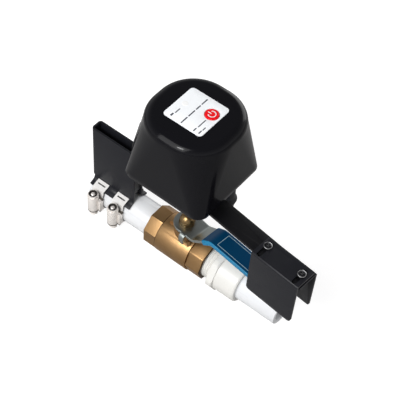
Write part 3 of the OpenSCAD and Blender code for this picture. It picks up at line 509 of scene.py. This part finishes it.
def band_line(grow):
    """Line of a band in Y and Z, pushed out by a thickness: an arc under the pipe from tangent to tangent,
    then straight up to each foot's toe, over the foot and across the top."""
    over, top = over_foot + grow * foot_push, across_top + grow * top_push
    lift = np.arctan2(over_foot[1], over_foot[0]) - np.arccos(band_bore / np.hypot(*over_foot))
    a = np.linspace(lift, -np.pi - lift, 480)
    arc = (band_bore + grow) * np.stack([np.cos(a), np.sin(a)], -1)
    left = np.array([-1, 1])
    corners = [arc[-1], over * left, top * left, top, over, arc[0]]
    step = np.linspace(0, 1, 80, endpoint=False)[:, None]
    return np.concatenate([arc[:-1]] + [p + (q - p) * step for p, q in zip(corners[:-1], corners[1:])])


def slotted_band(x):
    """Flat strip carried round the band's line. Cross slots sink into its outer face where a sine of the
    angle round the pipe passes a level, and its outer edges are eased."""
    outer, inner = band_line(band_t), band_line(0)
    angle = np.arctan2(outer[:, 1], outer[:, 0])
    wave = np.sin(slot_count * angle + slot_phase)
    slot = slot_sink * np.clip((wave - slot_level) / slot_wall, 0, 1) * (angle < slot_stop)
    flat = 0 * slot
    half = [flat + edge_sink, flat, flat, slot]
    sink = np.stack(half + half[::-1] + [flat + 1, flat + 1], 1)
    side = np.array([band_half, band_half - edge_in, slot_half + 0.05, slot_half - 0.05])
    off = np.concatenate([-side, side[::-1], [band_half, -band_half]])
    yz = outer[:, None] + (inner - outer)[:, None] * sink[..., None]
    return np.concatenate([np.broadcast_to(x + off, sink.shape)[..., None], yz], -1)


slotted = finish("slotted_stainless", (0.95, 0.935, 0.915), (0.91, 0.895, 0.875), (0.3, 0.44), metal=0.3,
                 mottle=110, grain=2000, bump=0.005)
st = slotted.node_tree
band_x, band_y, band_z = place_on(st)
band_angle = sums(st, "ARCTAN2", band_z, band_y)
slot_wave = sums(st, "SINE", sums(st, "MULTIPLY_ADD", band_angle, slot_count, slot_phase))
from_middle = from_clamp(st, band_x)
# Painted shade: the slots and a thin strip along each band's side are darkened as if in shadow.
slot_row = sums(st, "MULTIPLY", sums(st, "LESS_THAN", from_middle, slot_half * mm),
                sums(st, "LESS_THAN", band_angle, slot_stop))
in_slot = sums(st, "MULTIPLY", sums(st, "GREATER_THAN", slot_wave, slot_level), slot_row)
edge_shade = sums(st, "GREATER_THAN", from_middle, (band_half - edge_shade_in) * mm)
stain(slotted, sums(st, "MAXIMUM", in_slot, edge_shade), (0.05, 0.048, 0.046))
skin("slotted_bands", [(slotted_band(x), True) for x in clamp_x], "pipework", slotted, ["clamp_bands"])

# Drive cover: a gloss black moulding, square at its base and nearly round at its top, drawn together
# by flat sides and conical corners, with a rounded top edge and a hole for the button.
base_z, top_z, base_half, base_corner = 86.0, 142.0, 34.4, 8.8
top_half, top_corner, top_edge, wall_t = 32.6, 29.0, 7.0, 2.5
rim_ease, hole_ease = 0.5, 0.3
button_at, button_r, button_hole = (9.1, 4.6), 4.9, 5.2
corner_points = 25
gloss_black = finish("gloss_black", (0.0038, 0.0038, 0.0052), (0.005, 0.005, 0.0066), (0.11, 0.17), mottle=25,
                     grain=1200, bump=0.004)
shader_of(gloss_black).inputs["Specular IOR Level"].default_value = 0.15
corner_turn = np.linspace(0, np.pi / 2, corner_points)
corner_way = (np.arange(4)[:, None] * np.pi / 2 + corner_turn[None, :]).ravel()


def rounded_square(half, corner):
    """Square walked round its corners: each corner is a quarter circle about a centre that lies half
    minus corner out along both sides, and the flats join the quarters. Sizes may come in rows."""
    middle = np.repeat(np.arange(4) * np.pi / 2 + np.pi / 4, corner_points)
    half, corner = np.atleast_1d(half)[:, None], np.atleast_1d(corner)[:, None]
    reach = np.sqrt(2) * (half - corner)
    return np.stack([reach * np.cos(middle) + corner * np.cos(corner_way),
                     reach * np.sin(middle) + corner * np.sin(corner_way)], -1)


def at_height(flat, z):
    """Rows of points in plan are set at their heights about the stem."""
    z = np.broadcast_to(np.atleast_1d(z)[:, None], flat.shape[:2])
    return np.stack([stem_x + flat[..., 0], flat[..., 1], z], -1)


def button_ring(r, z):
    """Circle about the button at a height, walked in step with the rounded square."""
    ring = np.stack([button_at[0] + r * np.cos(corner_way), button_at[1] + r * np.sin(corner_way)], -1)
    return at_height(ring[None], z)


def cover_side(inset, low, steps):
    """Side of the cover from its lower rim to the flat top, inset by a wall: straight rules from the
    base square to the top square, then a quarter round."""
    t = np.linspace(0, 1, 14)
    a = np.linspace(0, np.pi / 2, steps)[1:]
    bend_from, edge = top_z - top_edge, top_edge - inset
    drawn_in = edge * (1 - np.cos(a))
    half = np.concatenate([base_half + (top_half - base_half) * t, top_half - drawn_in])
    corner = np.concatenate([base_corner + (top_corner - base_corner) * t, top_corner - drawn_in])
    z = np.concatenate([low + (bend_from - low) * t, bend_from + edge * np.sin(a)])
    return at_height(rounded_square(half - inset, corner - inset), z)


rim_in = np.array([rim_ease, 0.3 * rim_ease])
rim = at_height(rounded_square(base_half - rim_in, base_corner - rim_in), [base_z, base_z + 0.3 * rim_ease])
hole = np.concatenate([button_ring(button_hole + hole_ease, top_z),
                       button_ring(button_hole, top_z - hole_ease),
                       button_ring(button_hole, top_z - wall_t)])
outside, inside = cover_side(0, base_z + rim_ease, 15), cover_side(wall_t, base_z, 6)
cover_rows = np.concatenate([rim, outside, hole, inside[::-1]])
skin("drive_cover", [(cover_rows, True)], "drive", gloss_black, ["housing"])

# Label: a square of glossy printed film stuck on the flat top, cut out round the button, with a small
# white window over the lamp and a few plain printed rules.
label_half, label_corner, label_z, film_t, film_ease = 15.65, 2.7, top_z + 0.02, 0.35, 0.1
lamp_at, lamp_r, lamp_swell = (stem_x - 9.9, 0.65), 2.2, 0.12
film = finish("label_film", (0.95, 0.97, 0.99), (0.94, 0.96, 0.98), (0.2, 0.3), mottle=40, bump=0.004)
label_edge = rounded_square(label_half, label_corner)
label_rows = np.concatenate([
    button_ring(button_hole, label_z), button_ring(button_hole, label_z + film_t - 0.02),
    button_ring(button_hole + film_ease, label_z + film_t),
    at_height(rounded_square(label_half - film_ease, label_corner - film_ease), label_z + film_t),
    at_height(label_edge, label_z + film_t - 0.05), at_height(label_edge, label_z)])
skin("label_sheet", [(label_rows, True)], "drive", film, ["label"])
ink = finish("ink_grey", (0.06, 0.065, 0.08), (0.09, 0.095, 0.11), (0.3, 0.4), mottle=400, bump=0.002)


def printed_bar(across, up, long, wide):
    """Rounded bar of ink on the film. The label reads along the row's Y, so across is Y and up is -X."""
    size = np.array([0, 1, 1, 0])[:, None, None]
    flat = np.array([-up, across]) + size * rounded_square(1.0, 0.3) * np.array([wide / 2, long / 2])
    return at_height(flat, label_z + film_t + 0.02 * np.array([-1, -1, 1, 1]))


bars = [(-10.9, 1.25, 6.6, 0.95), (-3.2, 1.25, 6.8, 0.95), (3.6, 1.25, 4.8, 0.95), (10.1, 1.25, 6.2, 0.95),
        (-12.2, 10.2, 2.8, 1.3), (-7.4, 9.5, 5.0, 0.8),
        (-12.6, -8.9, 3.2, 0.9), (-5.8, -9.2, 8.0, 0.8), (-12.3, -12.8, 3.2, 0.9), (-8.5, -13.1, 3.2, 0.8)]
skin("printed_rules", [(printed_bar(*bar), False) for bar in bars], "drive", ink)
lamp_white = finish("lamp_window", (0.97, 0.97, 0.965), (0.96, 0.96, 0.955), (0.2, 0.3), mottle=200,
                    bump=0.002)


def lathe_z(centre, r, z, count=64):
    """Profile of radii and heights turned about an upright axis."""
    a = np.linspace(0, 2 * np.pi, count, endpoint=False)
    r, z = np.asarray(r, float)[:, None], np.asarray(z, float)[:, None]
    return np.stack([centre[0] + r * np.cos(a), centre[1] + r * np.sin(a), z + 0 * a], -1)


swell = np.linspace(np.pi / 2, 0, 8)
lamp_profile = np.concatenate([[0, lamp_r], lamp_r * np.sin(swell)])
lamp_lift = np.concatenate([[film_t - 0.05] * 2, film_t + 0.01 + lamp_swell * np.cos(swell)])
skin("lamp_window", [(lathe_z(lamp_at, lamp_profile, label_z + lamp_lift), False)], "drive", lamp_white)

# Button: a red gloss push button that comes up through the label, with the plain on-off mark printed
# on its cap.
button_low, button_top, button_edge = 138.6, 142.8, 0.5
mark_r, mark_half, mark_t, stroke_in, stroke_out = 2.55, 0.33, 0.05, 0.4, 3.2
mark_from, mark_to = np.radians(222), np.radians(498)
red = finish("button_red", (0.88, 0.001, 0.007), (0.80, 0.001, 0.006), (0.14, 0.24), mottle=100, bump=0.003)
button_centre = (stem_x + button_at[0], button_at[1])
edge_round = np.linspace(0, np.pi / 2, 8)
button_side = button_r - button_edge * (1 - np.cos(edge_round))
button_profile = np.concatenate([[0, button_r], button_side, [3.2, 1.6, 0]])
button_z = np.concatenate([[button_low] * 2, button_top - 0.6 + button_edge * np.sin(edge_round),
                           button_top - np.array([0.04, 0.01, 0])])
button_rows = lathe_z(button_centre, button_profile, button_z)
skin("button_cap", [(button_rows, False)], "button", red, ["power_button"])
mark_white = finish("mark_white", (0.86, 0.86, 0.86), (0.82, 0.82, 0.83), (0.3, 0.4), mottle=300, bump=0.002)


def mark_arc():
    """Thin flat bar carried round most of a circle, open towards the label's top, with closed ends."""
    t = np.linspace(mark_from, mark_to, 60)
    t = np.concatenate([t[:1], t, t[-1:]])
    size = np.ones((len(t), 1))
    size[[0, -1]] = 0
    r = mark_r + size * mark_half * np.array([-1, 1, 1, -1])
    z = button_top + size * mark_t * np.array([-1, -1, 1, 1])
    x, y = button_centre[0] + r * np.cos(t)[:, None], button_centre[1] + r * np.sin(t)[:, None]
    return np.stack([x, y, z], -1)


def mark_stroke():
    """Thin flat bar from near the mark's middle straight out through the gap."""
    size = np.array([0, 1, 1, 0])[:, None]
    out = np.array([stroke_in, stroke_in, stroke_out, stroke_out])[:, None]
    y = button_centre[1] + size * mark_half * np.array([-1, 1, 1, -1])
    z = button_top + 0.01 + size * mark_t * np.array([-1, -1, 1, 1])
    return np.stack([button_centre[0] - out + 0 * y, y, z], -1)


skin("button_mark", [(mark_arc(), False), (mark_stroke(), False)], "button", mark_white)

# Base of the drive: a moulded plate that closes the cover, the stiff tongue that slides down into the
# bracket, and the ribbed cable gland. Under the cover are the motor, its gears and the board.
moulding_ease, machined_ease = 0.3, 0.1
gland_at = (-69.21, 16.54)
gland_profile = np.array([
    (2.6, -8.3), (4.6, -8.3), (4.6, -0.3), (7.2, -0.3), (7.2, 6.7), (5.6, 6.9), (5.7, 27.0), (6.0, 28.4),
    (7.2, 30.3), (7.3, 30.9), (7.0, 31.8), (6.3, 34.2), (4.3, 34.7), (4.3, 35.4), (5.4, 37.0), (5.6, 37.6),
    (5.5, 38.4), (5.0, 39.9), (2.6, 39.9)])
nylon = finish("black_nylon", (0.005, 0.005, 0.0065), (0.008, 0.008, 0.0095), (0.36, 0.5), mottle=60,
               grain=1600, bump=0.03)
dress(["base_plate", "mount_tongue", "cable_gland_nut", "tact_switch"], nylon, moulding_ease)
gland_rows = lathe_z(gland_at, gland_profile[:, 0], base_z - gland_profile[:, 1])
skin("gland_ribs", [(gland_rows, True)], "drive", nylon, ["cable_gland"])
turned_steel = finish("turned_steel", (0.50, 0.50, 0.52), (0.42, 0.42, 0.44), (0.25, 0.4), metal=1.0,
                      mottle=80, grain=1500, bump=0.01)
dress(["base_screws", "tongue_screws", "output_shaft", "arm_bolt", "board_screws", "gearmotor",
       "gear_carrier", "motor_pinion"], turned_steel, machined_ease)
bush_bronze = finish("bush_bronze", (0.45, 0.26, 0.11), (0.38, 0.21, 0.09), (0.3, 0.45), metal=1.0, bump=0.02)
dress(["output_bush"], bush_bronze, machined_ease)
gear_nylon = finish("gear_nylon", (0.78, 0.76, 0.68), (0.72, 0.70, 0.62), (0.4, 0.5), grain=900, bump=0.02)
dress(["output_gear"], gear_nylon)
solder_mask = finish("solder_mask", (0.02, 0.12, 0.05), (0.03, 0.16, 0.07), (0.3, 0.4), mottle=300,
                     grain=2000, bump=0.01)
dress(["control_board"], solder_mask)

# Arm and fork: a flat bar bolted under the drive's shaft, and two folded jaws that reach down on both
# sides of the lever. The jaws are powder coated like the bracket; the bar has a duller, darker black coat,
# partly painted shade that also darkens what shows through the jaws' slots.
# Partly painted shade: the bar's coat is darker than the jaws', so the jaws' slots over it read dark.
dull_coat_and_shade = finish("dull_coat_and_shade", (0.0035, 0.0035, 0.0045), (0.005, 0.005, 0.006), (0.4, 0.55), mottle=90,
                   grain=2600, bump=0.03)
shader_of(dull_coat_and_shade).inputs["Specular IOR Level"].default_value = 0.2
dress(["switch_arm", "arm_hub"], dull_coat_and_shade, sheet_ease)
dress(["front_jaw", "rear_jaw"], powder, sheet_ease)

# Fork screws: black pan-head screws with a cross recess, and nuts under the arm. They pinch the jaws to
# the arm through the jaws' slots; a bright ring is painted round the rims of their heads as a highlight.
screw_along = (73.75, 104.25)
shank_low, shank_top, shank_r, shank_pitch, shank_deep = 60.55, 66.0, 1.5, 0.5, 0.25
head_low, head_side, head_r, glint_z, glint_edge, glint_core = 70.62, 71.85, 3.0, 71.95, 0.35, 0.1
crown_mid, crown_r = 66.8, 6.0
recess_deep, recess_half, recess_reach, recess_wall, recess_run = 1.1, 0.45, 1.7, 0.13, 0.25
black_steel = finish("black_steel", (0.03, 0.03, 0.033), (0.06, 0.06, 0.065), (0.2, 0.35), metal=0.8,
                     mottle=200, bump=0.01)
dress(["fork_nuts"], black_steel, machined_ease)
glint_black = finish("black_with_painted_glint", (0.02, 0.02, 0.023), (0.035, 0.035, 0.04), (0.2, 0.35), metal=0.8, mottle=200,
                bump=0.01)
rt = glint_black.node_tree
# Painted highlight: a pale ring at the head's rim height stands for the glint off its rounded edge.
off_rim = sums(rt, "ABSOLUTE", sums(rt, "SUBTRACT", place_on(rt)[2], glint_z * mm))
rim_glint = rt.nodes.new("ShaderNodeMapRange")
rim_glint.inputs["From Min"].default_value = glint_edge * mm
rim_glint.inputs["From Max"].default_value = glint_core * mm
rt.links.new(off_rim, rim_glint.inputs["Value"])
stain(glint_black, rim_glint.outputs["Result"], (0.55, 0.55, 0.55))


def recess_arm(along, across):
    """Smooth mask of one slot of the cross: 1 inside its width and reach, falling to 0 at its walls."""
    return (np.clip((recess_half - np.abs(across)) / recess_wall, 0, 1)
            * np.clip((recess_reach - np.abs(along)) / recess_run, 0, 1))


def pan_screw(along):
    """Screw turned about its own axis: a threaded shank, and a head whose rounded top sinks into a
    cross recess. The depth is the larger mask of the two crossed slots."""
    a = np.linspace(0, 2 * np.pi, 96, endpoint=False)
    z = np.linspace(shank_low, shank_top, 60)
    turn = (z[:, None] / shank_pitch - a[None, :] / (2 * np.pi)) % 1
    tip = shank_deep * (z[:, None] < shank_low + 0.2)
    shank = shank_r - shank_deep * np.abs(2 * turn - 1) - tip
    steps = np.array([shank_r, shank_r, head_r - 0.15, head_r, head_r])
    out = np.linspace(head_r - 0.05, 0, 44)[:, None]
    r = np.concatenate([0 * shank[:1], shank, np.repeat(steps[:, None], len(a), 1), out + 0 * a])
    step_z = [shank_top + 0.2, head_low, head_low, head_low + 0.13, head_side]
    side_z = np.concatenate([[shank_low], z, step_z])
    u, v = out * np.cos(a + np.pi / 4), out * np.sin(a + np.pi / 4)
    recess = np.maximum(recess_arm(u, v), recess_arm(v, u))
    crown = crown_mid + np.sqrt(crown_r ** 2 - out ** 2) - recess_deep * recess
    zz = np.concatenate([np.repeat(side_z[:, None], len(a), 1), crown])
    return with_the_lever(np.stack([along + r * np.cos(a), r * np.sin(a), zz], -1))


skin("fork_pan_screws", [(pan_screw(along), False) for along in screw_along], "arm", glint_black, ["fork_screws"])

# Room: a pale table under the valve, a large soft box in front with a small bright lamp beside it, a weak
# one low at the back, and a room that is bright at the sides and dim overhead, so that the black cover's
# top stays dark.
table_half, table_z = 3.0, -16.9 * mm
camera_glow, gloss_glow = 0.78, 0.05
table_x, table_y = np.meshgrid([-table_half, table_half], [-table_half, table_half])
table_corners = np.stack([table_x, table_y, np.full((2, 2), table_z)], -1).reshape(-1, 3)
table_top = bpy.data.meshes.new("table")
table_top.from_pydata(table_corners.tolist(), [], [(0, 1, 3, 2)])
table = bpy.data.objects.new("table", table_top)
bpy.context.scene.collection.objects.link(table)
pale = bpy.data.materials.new("pale_table")
pale.use_nodes = True
pt = pale.node_tree
table_skin = shader_of(pale)
table_skin.inputs["Base Color"].default_value = (0.42, 0.415, 0.41, 1)
table_skin.inputs["Roughness"].default_value = 0.7
table_skin.inputs["Emission Color"].default_value = (1, 1, 1, 1)
table_path = pt.nodes.new("ShaderNodeLightPath")
table_glow = sums(pt, "MULTIPLY", table_path.outputs["Is Camera Ray"], camera_glow)
table_gleam = sums(pt, "MULTIPLY", table_path.outputs["Is Glossy Ray"], gloss_glow)
pt.links.new(sums(pt, "ADD", table_glow, table_gleam), table_skin.inputs["Emission Strength"])
table_top.materials.append(pale)

world = bpy.data.worlds.new("room")
bpy.context.scene.world = world
world.use_nodes = True
wt = world.node_tree
way = wt.nodes.new("ShaderNodeTexCoord")
split = wt.nodes.new("ShaderNodeSeparateXYZ")
wt.links.new(way.outputs["Generated"], split.inputs["Vector"])
room_light = wt.nodes.new("ShaderNodeValToRGB")
walls, ceiling = room_light.color_ramp.elements
walls.position, walls.color = 0.15, (0.78, 0.78, 0.79, 1)
ceiling.position, ceiling.color = 0.7, (0.22, 0.22, 0.225, 1)
wt.links.new(split.outputs["Z"], room_light.inputs["Fac"])
room_path = wt.nodes.new("ShaderNodeLightPath")
room_mix = wt.nodes.new("ShaderNodeMix")
room_mix.data_type = "RGBA"
room_mix.inputs["B"].default_value = (1, 1, 1, 1)
wt.links.new(room_path.outputs["Is Camera Ray"], room_mix.inputs["Factor"])
wt.links.new(room_light.outputs["Color"], room_mix.inputs["A"])
wt.links.new(room_mix.outputs["Result"], wt.nodes["Background"].inputs["Color"])
wt.nodes["Background"].inputs["Strength"].default_value = 1.0
lamp_aim = (-0.09, 0, 0.05)


def place_axes(o, side, upward, backward, at):
    """An object's own axes and its place, all in metres, go into its matrix as columns."""
    columns = np.column_stack([side, upward, backward, at])
    o.matrix_world = Matrix([[*row] for row in columns] + [[0, 0, 0, 1]])


def soft_box(name, at, size, power):
    """Area lamp at a point in metres, turned so that its face looks at the valve."""
    lamp = bpy.data.lights.new(name, "AREA")
    lamp.size = size
    lamp.energy = power
    o = bpy.data.objects.new(name, lamp)
    bpy.context.scene.collection.objects.link(o)
    back = np.subtract(at, lamp_aim)
    back /= np.linalg.norm(back)
    side = np.cross((0, 0, 1), back)
    side /= np.linalg.norm(side)
    place_axes(o, side, np.cross(back, side), back, at)


soft_box("front_box", (-0.25, -0.86, 0.80), 0.9, 9.0)
soft_box("small_lamp", (-0.11, -0.86, 0.85), 0.22, 5.0)
soft_box("back_box", (-0.12, 0.95, 0.22), 0.7, 3.2)

# Camera: a long lens above the front right, rolled a few degrees. Its right, up and back directions are
# given one by one, then its place in metres.
lens = bpy.data.cameras.new("camera")
lens.sensor_width = 36
lens.lens = 98.976
lens.clip_start = 0.01
shot = bpy.data.objects.new("camera", lens)
bpy.context.scene.collection.objects.link(shot)
shot_right = (0.78015, 0.62284, 0.05859)
shot_up = (-0.51807, 0.59073, 0.61858)
shot_back = (0.35066, -0.51294, 0.78353)
place_axes(shot, shot_right, shot_up, shot_back, (0.18815, -0.3930, 0.6589))
bpy.context.scene.camera = shot
bpy.context.scene.view_settings.view_transform = "Standard"
